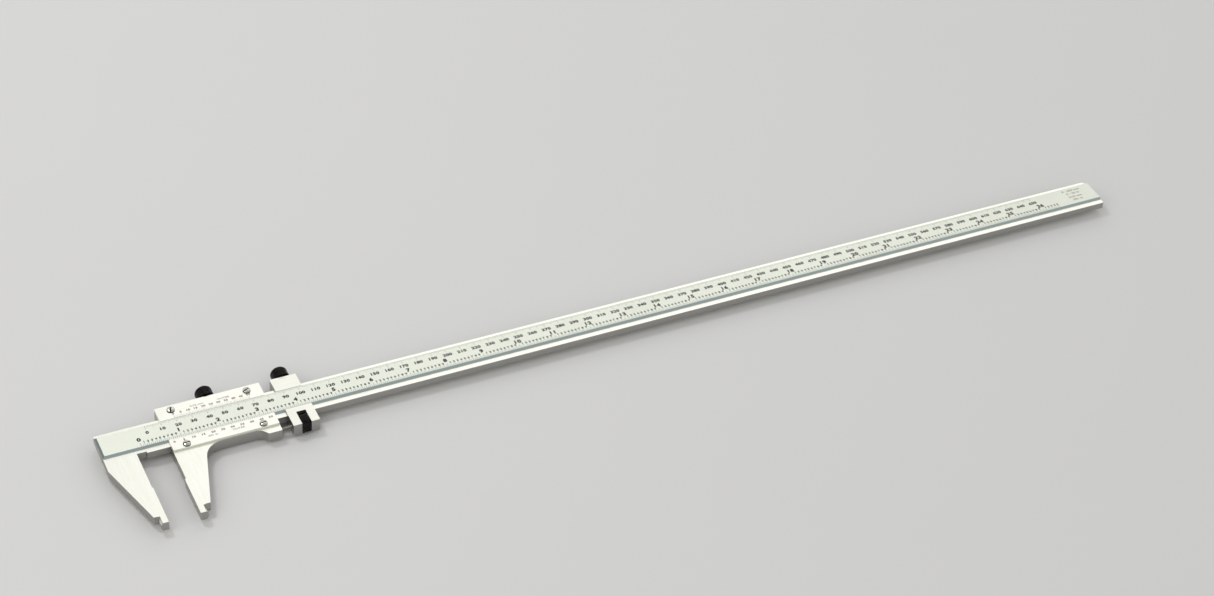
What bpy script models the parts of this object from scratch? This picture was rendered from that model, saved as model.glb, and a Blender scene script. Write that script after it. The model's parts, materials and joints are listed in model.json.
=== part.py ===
"""Vernier caliper for 24 inches and 600 mm, with a clamped fine-adjustment carriage.

Metres, +Z up. The bar runs along X with its free end at +X, the jaws reach toward -Y, and the scale
face looks up. Every piece is placed from the measuring frame: x = 0 on the fixed jaw's measuring
face, y = 0 on the bar's centre line, z = 0 on the scale face. An empty then stands that frame so
that the caliper lies on z = 0 with its bounding box centred on the origin.
"""

import math

import bmesh
import bpy
from mathutils import Matrix, Vector

MM = 0.001

# Bar with the fixed jaw, one piece of steel
BEAM_LENGTH = 732.1 * MM
BEAM_WIDTH = 25.4 * MM
BEAM_THICKNESS = 6.35 * MM
HEEL = 20.85 * MM  # from the measuring face back to the bar's end
PANEL_RISE = 1.5 * MM  # scale panel above the two ledges
PANEL_BEVEL = 1.3 * MM
UPPER_MARGIN = 3.4 * MM  # bar's upper edge to the panel
LOWER_MARGIN = 5.0 * MM
END_CHAMFER = 2.0 * MM
NOTCH_LENGTH = 6.2 * MM  # chip relief where the fixed jaw meets the bar
NOTCH_DEPTH = 1.3 * MM

# Jaws
JAW_DEPTH = 60.9 * MM  # bar's lower edge to the jaw tips
JAW_THICKNESS = 6.4 * MM
PAD_LENGTH = 30.4 * MM  # lapped measuring face, up from the tip
FIXED_RELIEF = 0.55 * MM
SLIDING_RELIEF = 0.85 * MM
RELIEF_RAMP = 0.8 * MM
NIB_WIDTH = 5.0 * MM  # both nibs closed measure 10 mm
NIB_LENGTH = 6.4 * MM
NIB_CROWN = 1.45 * MM  # makes the outer face rounder than the smallest bore
FIXED_SHOULDER = 7.25 * MM
SLIDING_SHOULDER = 8.15 * MM
FIXED_KNEE_DROP = 7.5 * MM
SLIDING_BACK_X = 21.5 * MM  # where the jaw's back edge would meet the slider's underside
JAW_FILLET = 13.5 * MM
OPENING = 19.8 * MM  # reading at rest, 0.78 inch

# Slider, a channel open to the front
SLIDER_LENGTH = 68.5 * MM
UPPER_WALL = 8.9 * MM
LOWER_WALL = 5.7 * MM
WEB = 2.35 * MM  # behind the bar
SLIDE_GAP = 0.2 * MM
LUG_LENGTH = 8.75 * MM
LUG_STEP_RUN = 4.0 * MM
LUG_STEP_FILLET = 6.0 * MM
BRIDGE = 7.0 * MM  # solid web left at each end of the rear window
WINDOW_INSET = 3.0 * MM
WINDOW_EDGE = 3.0 * MM  # bar's edge to the rear window's edge
REAR_RIM = 1.3 * MM

# Vernier plates and their screws
PLATE_THICKNESS = 1.4 * MM
PLATE_SIDE_GAP = 0.1 * MM
LOWER_PLATE_INSET = 0.4 * MM
READING_GAP = 0.2 * MM
PLATE_SCREW_INSET = 9.5 * MM
UPPER_SCREW_MARGIN = 4.3 * MM
LOWER_SCREW_MARGIN = 3.0 * MM
REAR_PLATE_THICKNESS = 1.2 * MM
REAR_SCREW_INSET = 15.2 * MM
DROP_EDGE = 1.6 * MM  # width of the rear plates' lowered reading edge
DROP_EDGE_BEVEL = 1.2 * MM
PLATE_SCREW_RADIUS = 0.9 * MM
PLATE_SCREW_REACH = 2.6 * MM  # into the slider
FRONT_HEAD_RADIUS = 2.5 * MM
REAR_HEAD_RADIUS = 2.0 * MM
HEAD_HEIGHT = 1.1 * MM
HEAD_RIM = 0.4 * MM
SLOT_WIDTH = 0.7 * MM
SLOT_DEPTH = 0.55 * MM
FRONT_SLOT_TURNS = {"metric_left": 70.0, "metric_right": 25.0, "inch_left": 2.0, "inch_right": 8.0}

# Gibs, their leaf springs and the clamping screws
GIB_THICKNESS = 1.5 * MM
GIB_MARGIN = 0.4 * MM  # bar's edge corners to the gib's corners
GIB_GAP = 0.3 * MM
SPRING_LEAF = 0.25 * MM
SPRING_BOW = 0.35 * MM
SPRING_HOLE = 1.4 * MM
GIB_END_WALL = 3.0 * MM
SHANK_RADIUS = 2.0 * MM
POINT_RADIUS = 1.1 * MM
KNOB_RADIUS = 5.65 * MM
KNOB_NECK_RADIUS = 3.6 * MM
KNOB_NECK = 0.9 * MM
KNOB_LENGTH = 9.0 * MM
KNOB_DOME = 1.5 * MM
KNOB_CHAMFER = 0.5 * MM

# Carriage and fine adjustment
CARRIAGE_LENGTH = 17.4 * MM
CARRIAGE_GAP = 7.1 * MM
CARRIAGE_UPPER_WALL = 8.8 * MM
ROD_RADIUS = 1.55 * MM
ROD_DEPTH = 4.8 * MM  # axis below the scale face
ROD_SEAT = 7.0 * MM  # length held in the slider's lug
ROD_END_INSET = 1.2 * MM  # rod's free end short of the carriage's far face
NUT_RADIUS = 5.8 * MM
NUT_WIDTH = 5.5 * MM
NUT_BEAM_GAP = 0.7 * MM
NUT_SIDE_GAP = 0.3 * MM
NUT_CHAMFER = 0.5 * MM
LUG_BELOW_ROD = 4.2 * MM
CARRIAGE_BELOW_ROD = 4.8 * MM
SET_SCREW_RADIUS = 1.0 * MM

# Fits
THREAD_GAP = 0.1 * MM
SEAT_GAP = 0.1 * MM
CLEAR_GAP = 0.3 * MM
OVERCUT = 3.0 * MM  # cutters run this far past the surface that they open
CORNER_RADIUS = 0.5 * MM
ARC_STEPS = 6
TURN_STEPS = 32

# Places that follow from the sizes
UPPER_EDGE = BEAM_WIDTH / 2
LOWER_EDGE = -BEAM_WIDTH / 2
PANEL_TOP = UPPER_EDGE - UPPER_MARGIN
PANEL_BOTTOM = LOWER_EDGE + LOWER_MARGIN
BEAM_START = -HEEL
BEAM_END = BEAM_START + BEAM_LENGTH
JAW_TIP = LOWER_EDGE - JAW_DEPTH
JAW_BACK = -PANEL_RISE - JAW_THICKNESS
PAD_TOP = JAW_TIP + PAD_LENGTH
SHOULDER = JAW_TIP + NIB_LENGTH

CHANNEL_FLOOR = -BEAM_THICKNESS - SLIDE_GAP
SLIDER_BACK = CHANNEL_FLOOR - WEB
SLIDER_START = SLIDING_RELIEF
SLIDER_END = SLIDER_START + SLIDER_LENGTH
SLIDER_TOP = UPPER_EDGE + UPPER_WALL
SLIDER_BOTTOM = LOWER_EDGE - LOWER_WALL

ROD_Y = LOWER_EDGE - NUT_BEAM_GAP - NUT_RADIUS
LUG_BOTTOM = ROD_Y - LUG_BELOW_ROD
CARRIAGE_BOTTOM = ROD_Y - CARRIAGE_BELOW_ROD
CARRIAGE_TOP = UPPER_EDGE + CARRIAGE_UPPER_WALL
CARRIAGE_MIDDLE = CARRIAGE_LENGTH / 2

GIB_FRONT = -PANEL_RISE - GIB_MARGIN
GIB_REAR = -BEAM_THICKNESS + GIB_MARGIN
LOCK_Z = (GIB_FRONT + GIB_REAR) / 2
GIB_BOTTOM = UPPER_EDGE + GIB_GAP
GIB_TOP = GIB_BOTTOM + GIB_THICKNESS
SPRING_BOTTOM = GIB_TOP + CLEAR_GAP
POCKET_TOP = SPRING_BOTTOM + SPRING_BOW + SPRING_LEAF + CLEAR_GAP
KNOB_END = SLIDER_TOP + SEAT_GAP + KNOB_NECK + KNOB_LENGTH

REST_DEPTH = max(
    ROD_DEPTH + NUT_RADIUS,
    KNOB_RADIUS - LOCK_Z,
    SEAT_GAP + HEAD_HEIGHT - SLIDER_BACK,
)

# Finishes: colour, roughness, metallic
SATIN_CHROME = ((0.74, 0.77, 0.72), 0.38, 1.0)
GROUND_STEEL = ((0.86, 0.87, 0.84), 0.28, 1.0)
BRIGHT_STEEL = ((0.70, 0.70, 0.68), 0.22, 1.0)
SPRING_STEEL = ((0.33, 0.35, 0.40), 0.35, 1.0)
THREAD_STEEL = ((0.45, 0.45, 0.44), 0.35, 1.0)
GIB_BRASS = ((0.72, 0.56, 0.27), 0.40, 1.0)
BLACK_OXIDE = ((0.035, 0.035, 0.038), 0.45, 0.6)

for leftover in list(bpy.data.objects):
    bpy.data.objects.remove(leftover, do_unlink=True)

caliper = bpy.data.collections.new("vernier_caliper")
cutters = bpy.data.collections.new("cutters")
cutters.hide_render = True
for collection in (caliper, cutters):
    bpy.context.scene.collection.children.link(collection)


# Building blocks


def finish_material(name, finish):
    colour, roughness, metallic = finish
    material = bpy.data.materials.new(name)
    material.use_nodes = True
    shader = material.node_tree.nodes["Principled BSDF"]
    shader.inputs["Base Color"].default_value = (*colour, 1.0)
    shader.inputs["Roughness"].default_value = roughness
    shader.inputs["Metallic"].default_value = metallic
    return material


def frame(name, parent, location):
    """An empty that carries a body's pieces."""
    empty = bpy.data.objects.new(name, None)
    empty.empty_display_size = 10 * MM
    empty.parent = parent
    empty.location = location
    caliper.objects.link(empty)
    return empty


def place(name, mesh, parent, finish, location=(0, 0, 0), rotation=(0, 0, 0)):
    """A piece of the caliper, in its body's frame."""
    piece = bpy.data.objects.new(name, mesh)
    piece.parent = parent
    piece.location = location
    piece.rotation_euler = rotation
    mesh.materials.append(finish_material(name, finish))
    caliper.objects.link(piece)
    return piece


def cut(piece, name, mesh, location=(0, 0, 0), rotation=(0, 0, 0)):
    """Takes the mesh away from the piece. The location is in the piece's own frame."""
    tool = bpy.data.objects.new(f"cut_{name}", mesh)
    tool.parent = piece
    tool.location = location
    tool.rotation_euler = rotation
    tool.hide_render = True
    tool.display_type = "WIRE"
    cutters.objects.link(tool)
    modifier = piece.modifiers.new(name, "BOOLEAN")
    modifier.operation = "DIFFERENCE"
    modifier.solver = "EXACT"
    modifier.object = tool


def rounded(corners):
    """Points of an outline whose corners are (u, v) or (u, v, radius), with arcs at the rounded ones."""
    points = []
    for index, corner in enumerate(corners):
        here = Vector(corner[:2])
        radius = corner[2] if len(corner) == 3 else 0.0
        if not radius:
            points.append(here)
            continue
        before = (Vector(corners[index - 1][:2]) - here).normalized()
        after = (Vector(corners[(index + 1) % len(corners)][:2]) - here).normalized()
        half_angle = before.angle(after) / 2
        centre = here + (before + after).normalized() * radius / math.sin(half_angle)
        start = here + before * radius / math.tan(half_angle) - centre
        sweep = start.angle_signed(here + after * radius / math.tan(half_angle) - centre)
        for step in range(ARC_STEPS + 1):
            turned = Matrix.Rotation(-sweep * step / ARC_STEPS, 2) @ start
            points.append(centre + turned)
    return points


def prism(corners, low, high, plane="XY"):
    """A flat outline pushed from low to high across its plane, as a mesh."""
    outline = bpy.data.curves.new("outline", "CURVE")
    outline.dimensions = "2D"
    outline.fill_mode = "BOTH"
    outline.extrude = (high - low) / 2
    spline = outline.splines.new("POLY")
    points = rounded(corners)
    spline.points.add(len(points) - 1)
    for target, point in zip(spline.points, points):
        target.co = (point.x, point.y, 0, 1)
    spline.use_cyclic_u = True
    guide = bpy.data.objects.new("outline", outline)
    cutters.objects.link(guide)
    graph = bpy.context.evaluated_depsgraph_get()
    mesh = bpy.data.meshes.new_from_object(guide.evaluated_get(graph))
    bpy.data.objects.remove(guide, do_unlink=True)
    turns = {
        "XY": Matrix.Identity(4),
        "YZ": Matrix(((0, 0, 1, 0), (1, 0, 0, 0), (0, 1, 0, 0), (0, 0, 0, 1))),
        "XZ": Matrix(((1, 0, 0, 0), (0, 0, 1, 0), (0, 1, 0, 0), (0, 0, 0, 1))),
    }
    mesh.transform(turns[plane] @ Matrix.Translation((0, 0, (low + high) / 2)))
    return welded(mesh)


def welded(mesh):
    shape = bmesh.new()
    shape.from_mesh(mesh)
    bmesh.ops.remove_doubles(shape, verts=shape.verts, dist=1e-7)
    bmesh.ops.recalc_face_normals(shape, faces=shape.faces)
    shape.to_mesh(mesh)
    shape.free()
    return mesh


def block(low, high):
    """A box between two opposite corners."""
    low, high = Vector(low), Vector(high)
    shape = bmesh.new()
    size = Matrix.Diagonal((*(high - low), 1.0))
    bmesh.ops.create_cube(shape, size=1.0, matrix=Matrix.Translation((low + high) / 2) @ size)
    mesh = bpy.data.meshes.new("block")
    shape.to_mesh(mesh)
    shape.free()
    return mesh


def drill(radius, low, high):
    """A round cutter along its own Z."""
    shape = bmesh.new()
    place_it = Matrix.Translation((0, 0, (low + high) / 2))
    bmesh.ops.create_cone(
        shape,
        cap_ends=True,
        segments=TURN_STEPS,
        radius1=radius,
        radius2=radius,
        depth=high - low,
        matrix=place_it,
    )
    mesh = bpy.data.meshes.new("drill")
    shape.to_mesh(mesh)
    shape.free()
    return mesh


def profile(points, closed=False):
    """An edge line in the XZ plane, from (radius, height) points that run down the outer side."""
    mesh = bpy.data.meshes.new("profile")
    edges = [(index, index + 1) for index in range(len(points) - 1)]
    if closed:
        edges.append((len(points) - 1, 0))
    mesh.from_pydata([(radius, 0, height) for radius, height in points], edges, [])
    return mesh


def turn(piece):
    """Spins the piece's profile about its own Z."""
    modifier = piece.modifiers.new("turned", "SCREW")
    modifier.steps = TURN_STEPS
    modifier.render_steps = TURN_STEPS
    modifier.use_merge_vertices = True
    modifier.merge_threshold = 1e-6
    modifier.use_smooth_shade = False


ALONG_X = (0, math.radians(90), 0)
ALONG_Y = (math.radians(-90), 0, 0)
UP = (0, 0, 0)
DOWN = (math.radians(180), 0, 0)


# Bar and jaws


def jaw_inner_side(relief, side):
    """The lapped pad and the relieved face above it, from the tip up. Side is +1 for the sliding jaw."""
    return [
        (0, JAW_TIP),
        (0, PAD_TOP),
        (side * relief, PAD_TOP + RELIEF_RAMP),
    ]


def jaw_outer_side(shoulder, side):
    """The nib and its shoulder, from the shoulder's corner down to the tip."""
    return [
        (side * shoulder, SHOULDER, CORNER_RADIUS),
        (side * NIB_WIDTH, SHOULDER, CORNER_RADIUS),
        (side * NIB_WIDTH, JAW_TIP, CORNER_RADIUS),
    ]


def crown_nib(piece, side):
    """Rounds the nib's outer face about the jaw's length, for measuring bores."""
    half = JAW_THICKNESS / 2
    radius = (half**2 + NIB_CROWN**2) / (2 * NIB_CROWN)
    middle = -PANEL_RISE - half
    reach = math.asin(half / radius) * 1.2
    outline = []
    for step in range(2 * ARC_STEPS + 1):
        angle = reach * (step / ARC_STEPS - 1)
        across = NIB_WIDTH - radius + radius * math.cos(angle)
        outline.append((side * across, middle + radius * math.sin(angle)))
    beyond = side * (NIB_WIDTH + OVERCUT)
    outline += [(beyond, outline[-1][1]), (beyond, outline[0][1])]
    cut(piece, f"{piece.name}_nib_crown", prism(outline, JAW_TIP - OVERCUT, SHOULDER - CLEAR_GAP, "XZ"))


def make_beam(parent):
    corners = [
        (BEAM_START, UPPER_EDGE, CORNER_RADIUS),
        (BEAM_START, LOWER_EDGE - FIXED_KNEE_DROP, CORNER_RADIUS),
        *jaw_outer_side(FIXED_SHOULDER, -1),
        *jaw_inner_side(FIXED_RELIEF, -1),
        (-FIXED_RELIEF, LOWER_EDGE + NOTCH_DEPTH),
        (NOTCH_LENGTH - FIXED_RELIEF, LOWER_EDGE + NOTCH_DEPTH),
        (NOTCH_LENGTH - FIXED_RELIEF, LOWER_EDGE),
        (BEAM_END, LOWER_EDGE),
        (BEAM_END, UPPER_EDGE - END_CHAMFER),
        (BEAM_END - END_CHAMFER, UPPER_EDGE),
    ]
    deep = min(JAW_BACK, -BEAM_THICKNESS) - OVERCUT
    beam = place("beam", prism(corners, deep, 0), parent, SATIN_CHROME)

    past_start = BEAM_START - OVERCUT
    past_end = BEAM_END + OVERCUT
    for name, edge, side in (("upper", PANEL_TOP, 1), ("lower", PANEL_BOTTOM, -1)):
        slope = side * PANEL_BEVEL
        far = side * (BEAM_WIDTH + JAW_DEPTH)
        ledge = [
            (edge + slope, -PANEL_RISE),
            (edge - slope, PANEL_RISE),
            (far, PANEL_RISE),
            (far, -PANEL_RISE),
        ]
        cut(beam, f"{name}_ledge", prism(ledge, past_start, past_end, "YZ"))

    heel_face = PANEL_RISE - SLIDE_GAP
    heel_bevel = [
        (BEAM_START - PANEL_BEVEL, -2 * heel_face),
        (BEAM_START + 2 * PANEL_BEVEL, heel_face),
        (past_start - PANEL_BEVEL, heel_face),
        (past_start - PANEL_BEVEL, -2 * heel_face),
    ]
    cut(beam, "heel_bevel", prism(heel_bevel, JAW_TIP, UPPER_EDGE + OVERCUT, "XZ"))

    step = LOWER_EDGE - NUT_BEAM_GAP
    below = deep - OVERCUT
    cut(
        beam,
        "bar_back",
        block((past_start, step, below), (past_end, UPPER_EDGE + OVERCUT, -BEAM_THICKNESS)),
    )
    jaw_space = block((past_start, JAW_TIP - OVERCUT, below), (OVERCUT, step + SLIDE_GAP, JAW_BACK))
    cut(beam, "jaw_back", jaw_space)
    crown_nib(beam, -1)
    return beam


# Slider


def make_slider(parent):
    lug_start = SLIDER_END - LUG_LENGTH
    corners = [
        (SLIDER_START, SLIDER_TOP, CORNER_RADIUS),
        *reversed(jaw_inner_side(SLIDING_RELIEF, 1)),
        *reversed(jaw_outer_side(SLIDING_SHOULDER, 1)),
        (SLIDING_BACK_X, SLIDER_BOTTOM, JAW_FILLET),
        (lug_start - LUG_STEP_RUN, SLIDER_BOTTOM, LUG_STEP_FILLET),
        (lug_start, LUG_BOTTOM, CORNER_RADIUS),
        (SLIDER_END, LUG_BOTTOM, CORNER_RADIUS),
        (SLIDER_END, SLIDER_TOP, CORNER_RADIUS),
    ]
    deep = min(JAW_BACK, SLIDER_BACK) - OVERCUT
    slider = place("slider", prism(corners, deep, -PANEL_RISE), parent, GROUND_STEEL)

    past_start = SLIDER_START - OVERCUT
    past_end = SLIDER_END + OVERCUT
    channel_low = LOWER_EDGE - SLIDE_GAP
    channel_high = UPPER_EDGE + SLIDE_GAP
    cut(slider, "channel", block((past_start, channel_low, CHANNEL_FLOOR), (past_end, channel_high, OVERCUT)))

    gib_start = SLIDER_START + GIB_END_WALL
    gib_end = SLIDER_END - GIB_END_WALL
    gib_low = channel_high - OVERCUT
    pocket = block((gib_start, gib_low, GIB_REAR - CLEAR_GAP), (gib_end, POCKET_TOP, OVERCUT))
    cut(slider, "gib_pocket", pocket)

    below = deep - OVERCUT
    step = SLIDER_BOTTOM - REAR_RIM
    body_behind = block((past_start, step, below), (past_end, SLIDER_TOP + OVERCUT, SLIDER_BACK))
    cut(slider, "body_back", body_behind)
    jaw_end = lug_start - LUG_STEP_RUN
    jaw_behind = block((past_start, JAW_TIP - OVERCUT, below), (jaw_end, step + SLIDE_GAP, JAW_BACK))
    cut(slider, "jaw_back", jaw_behind)
    lug_low = LUG_BOTTOM - OVERCUT
    lug_behind = block((jaw_end - SLIDE_GAP, lug_low, below), (past_end, step + SLIDE_GAP, SLIDER_BACK))
    cut(slider, "lug_back", lug_behind)

    window_start = SLIDER_START + BRIDGE + WINDOW_INSET
    window_end = SLIDER_END - BRIDGE - WINDOW_INSET
    window_low = LOWER_EDGE + WINDOW_EDGE
    window_high = UPPER_EDGE - WINDOW_EDGE
    window = block(
        (window_start, window_low, SLIDER_BACK - OVERCUT),
        (window_end, window_high, CHANNEL_FLOOR + SLIDE_GAP),
    )
    cut(slider, "rear_window", window)
    for name, low, high in rear_pockets():
        seat = SLIDER_BACK + REAR_PLATE_THICKNESS + SEAT_GAP
        pocket = block(
            (SLIDER_START + BRIDGE, low, SLIDER_BACK - OVERCUT),
            (SLIDER_END - BRIDGE, high, seat),
        )
        cut(slider, f"{name}_rear_pocket", pocket)

    lock_x = SLIDER_START + SLIDER_LENGTH / 2
    lock_hole = drill(SHANK_RADIUS + THREAD_GAP, GIB_TOP, SLIDER_TOP + OVERCUT)
    cut(slider, "lock_thread", lock_hole, (lock_x, 0, LOCK_Z), ALONG_Y)
    hole = PLATE_SCREW_RADIUS + THREAD_GAP
    for name, x, y in front_screw_places():
        thread = drill(hole, -PLATE_SCREW_REACH - CLEAR_GAP, OVERCUT)
        cut(slider, f"{name}_thread", thread, (x, y, -PANEL_RISE))
    for name, x, y in rear_screw_places():
        thread = drill(hole, -OVERCUT, REAR_PLATE_THICKNESS + PLATE_SCREW_REACH + CLEAR_GAP)
        cut(slider, f"{name}_thread", thread, (x, y, SLIDER_BACK))

    rod_hole = drill(ROD_RADIUS + THREAD_GAP, -ROD_SEAT - CLEAR_GAP, OVERCUT)
    cut(slider, "rod_seat", rod_hole, (SLIDER_END, ROD_Y, -ROD_DEPTH), ALONG_X)
    set_hole = drill(SET_SCREW_RADIUS + THREAD_GAP, -LUG_BELOW_ROD - OVERCUT, 0)
    set_x = SLIDER_END - ROD_SEAT / 2
    cut(slider, "set_screw_thread", set_hole, (set_x, ROD_Y, -ROD_DEPTH), ALONG_Y)
    crown_nib(slider, 1)
    return slider


# Vernier plates


def rear_pockets():
    """Name, low y and high y of the two seats behind the slider's walls."""
    return (
        ("metric", UPPER_EDGE - WINDOW_EDGE - WINDOW_INSET, SLIDER_TOP - REAR_RIM),
        ("inch", SLIDER_BOTTOM + REAR_RIM, LOWER_EDGE + WINDOW_EDGE + WINDOW_INSET),
    )


def screw_places(inset, upper_y, lower_y):
    sides = (("left", SLIDER_START + inset), ("right", SLIDER_END - inset))
    rows = (("metric", upper_y), ("inch", lower_y))
    return [(f"{row}_{side}", x, y) for row, y in rows for side, x in sides]


def front_screw_places():
    upper = SLIDER_TOP - UPPER_SCREW_MARGIN
    lower = SLIDER_BOTTOM + LOWER_PLATE_INSET + LOWER_SCREW_MARGIN
    return screw_places(PLATE_SCREW_INSET, upper, lower)


def rear_screw_places():
    upper = (POCKET_TOP + SLIDER_TOP - REAR_RIM) / 2
    lower = (LOWER_EDGE - SLIDE_GAP + SLIDER_BOTTOM + REAR_RIM) / 2
    return screw_places(REAR_SCREW_INSET, upper, lower)


def make_front_plates(parent):
    """Flush with the scale panel, each with an edge that follows the panel's bevel."""
    lean = PANEL_BEVEL * PLATE_THICKNESS / PANEL_RISE
    rows = (
        ("metric", 1, PANEL_TOP + READING_GAP, SLIDER_TOP),
        ("inch", -1, PANEL_BOTTOM - READING_GAP, SLIDER_BOTTOM + LOWER_PLATE_INSET),
    )
    for row, side, reading_edge, outer_edge in rows:
        section = [
            (reading_edge, 0),
            (outer_edge, 0),
            (outer_edge, -PLATE_THICKNESS),
            (reading_edge + side * lean, -PLATE_THICKNESS),
        ]
        start = SLIDER_START + PLATE_SIDE_GAP
        end = SLIDER_END - PLATE_SIDE_GAP
        plate = place(f"{row}_vernier_plate", prism(section, start, end, "YZ"), parent, GROUND_STEEL)
        for name, x, y in front_screw_places():
            if name.startswith(row):
                hole = drill(PLATE_SCREW_RADIUS + THREAD_GAP, -2 * PLATE_THICKNESS, OVERCUT)
                cut(plate, f"{name}_plate_hole", hole, (x, y, 0))


def make_rear_plates(parent):
    """Set into the slider's back, each with a lowered edge that reaches the bar's back for reading."""
    outside = SLIDER_BACK
    seat = outside + REAR_PLATE_THICKNESS
    near_bar = CHANNEL_FLOOR + SLIDE_GAP / 2
    for row, low, high in rear_pockets():
        side = 1 if row == "metric" else -1
        inner, outer = (low, high) if side == 1 else (high, low)
        outer -= side * CLEAR_GAP
        inner += side * CLEAR_GAP
        heel = inner + side * DROP_EDGE
        section = [
            (outer, outside),
            (outer, seat),
            (heel, seat),
            (heel, near_bar),
            (inner, near_bar),
            (inner, near_bar - CLEAR_GAP),
            (inner + side * DROP_EDGE_BEVEL, outside),
        ]
        start = SLIDER_START + BRIDGE + CLEAR_GAP
        end = SLIDER_END - BRIDGE - CLEAR_GAP
        drop_cut_start = start + WINDOW_INSET
        drop_cut_end = end - WINDOW_INSET
        plate = place(f"inside_{row}_vernier_plate", prism(section, start, end, "YZ"), parent, GROUND_STEEL)
        across = sorted((inner - side * OVERCUT, heel + side * CLEAR_GAP))
        for side_name, from_x, to_x in (
            ("left", start - OVERCUT, drop_cut_start),
            ("right", drop_cut_end, end + OVERCUT),
        ):
            trim = block((from_x, across[0], seat), (to_x, across[1], near_bar + OVERCUT))
            cut(plate, f"inside_{row}_{side_name}_trim", trim)
        for name, x, y in rear_screw_places():
            if name.startswith(row):
                hole = drill(PLATE_SCREW_RADIUS + THREAD_GAP, -OVERCUT, OVERCUT)
                cut(plate, f"inside_{name}_plate_hole", hole, (x, y, outside))


def make_plate_screw(name, parent, head_radius, shank, location, facing, slot_turn):
    """A slotted screw with a domed head. Its origin is on the plate's face, its head toward its own +Z."""
    top = SEAT_GAP + HEAD_HEIGHT
    rim = SEAT_GAP + HEAD_RIM
    dome = top - rim
    dome_points = []
    for step in range(ARC_STEPS):
        lift = math.sin(math.radians(90 * (ARC_STEPS - step) / ARC_STEPS))
        spread = math.cos(math.radians(90 * (ARC_STEPS - step) / ARC_STEPS))
        dome_points.append((head_radius * spread, rim + dome * lift))
    outline = [
        (0, top),
        *dome_points[1:],
        (head_radius, rim),
        (head_radius, SEAT_GAP),
        (PLATE_SCREW_RADIUS, SEAT_GAP),
        (PLATE_SCREW_RADIUS, -shank),
        (0, -shank),
    ]
    screw = place(name, profile(outline), parent, BRIGHT_STEEL, location, facing)
    turn(screw)
    slot = block(
        (-head_radius - OVERCUT, -SLOT_WIDTH / 2, top - SLOT_DEPTH),
        (head_radius + OVERCUT, SLOT_WIDTH / 2, top + OVERCUT),
    )
    cut(screw, f"{name}_slot", slot, rotation=(0, 0, math.radians(slot_turn)))


def make_plate_screws(parent):
    for name, x, y in front_screw_places():
        shank = PANEL_RISE + PLATE_SCREW_REACH
        slot_turn = FRONT_SLOT_TURNS[name]
        row, side = name.split("_")
        full_name = f"{row}_plate_screw_{side}"
        make_plate_screw(full_name, parent, FRONT_HEAD_RADIUS, shank, (x, y, 0), UP, slot_turn)
    for name, x, y in rear_screw_places():
        shank = REAR_PLATE_THICKNESS + PLATE_SCREW_REACH
        row, side = name.split("_")
        full_name = f"inside_{row}_plate_screw_{side}"
        make_plate_screw(full_name, parent, REAR_HEAD_RADIUS, shank, (x, y, SLIDER_BACK), DOWN, 0)


# Gibs, springs and clamping screws


def make_gib(name, parent, start, end):
    """A brass strip that the clamping screw presses on the bar's upper edge."""
    strip = block((start, GIB_BOTTOM, GIB_REAR), (end, GIB_TOP, GIB_FRONT))
    place(name, strip, parent, GIB_BRASS)


def make_gib_spring(name, parent, start, end):
    """A bowed leaf between the gib and its pocket, with a hole for the clamping screw's point."""
    middle = (start + end) / 2
    half = (end - start) / 2
    radius = (half**2 + SPRING_BOW**2) / (2 * SPRING_BOW)
    reach = math.asin(half / radius)
    lower = []
    upper = []
    for step in range(2 * ARC_STEPS + 1):
        angle = reach * (step / ARC_STEPS - 1)
        x = middle + radius * math.sin(angle)
        y = SPRING_BOTTOM + radius * (1 - math.cos(angle))
        lower.append((x, y))
        upper.append((x, y + SPRING_LEAF))
    leaf = prism(lower + upper[::-1], GIB_REAR, GIB_FRONT)
    spring = place(name, leaf, parent, SPRING_STEEL)
    hole = drill(SPRING_HOLE, -OVERCUT, OVERCUT)
    cut(spring, f"{name}_hole", hole, (middle, SPRING_BOTTOM, LOCK_Z), ALONG_Y)


def make_clamping_screw(name, parent, x, wall_top):
    """A knurled knob, its shank through the wall and a point that stops short of the gib."""
    face = SEAT_GAP
    head = face + KNOB_NECK
    top = head + KNOB_LENGTH
    shank_end = POCKET_TOP - wall_top
    point_end = GIB_TOP + CLEAR_GAP / 2 - wall_top
    crown = []
    for step in range(1, ARC_STEPS):
        angle = math.radians(90 * step / ARC_STEPS)
        crown.append((KNOB_RADIUS * math.sin(angle), top - KNOB_DOME * (1 - math.cos(angle))))
    outline = [
        (0, top),
        *crown,
        (KNOB_RADIUS, top - KNOB_DOME),
        (KNOB_RADIUS, head + KNOB_CHAMFER),
        (KNOB_RADIUS - KNOB_CHAMFER, head),
        (KNOB_NECK_RADIUS, head),
        (KNOB_NECK_RADIUS, face),
        (SHANK_RADIUS, face),
        (SHANK_RADIUS, shank_end),
        (POINT_RADIUS, shank_end),
        (POINT_RADIUS, point_end),
        (0, point_end),
    ]
    screw = place(name, profile(outline), parent, BLACK_OXIDE, (x, wall_top, LOCK_Z), ALONG_Y)
    turn(screw)


# Carriage and fine adjustment


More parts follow.
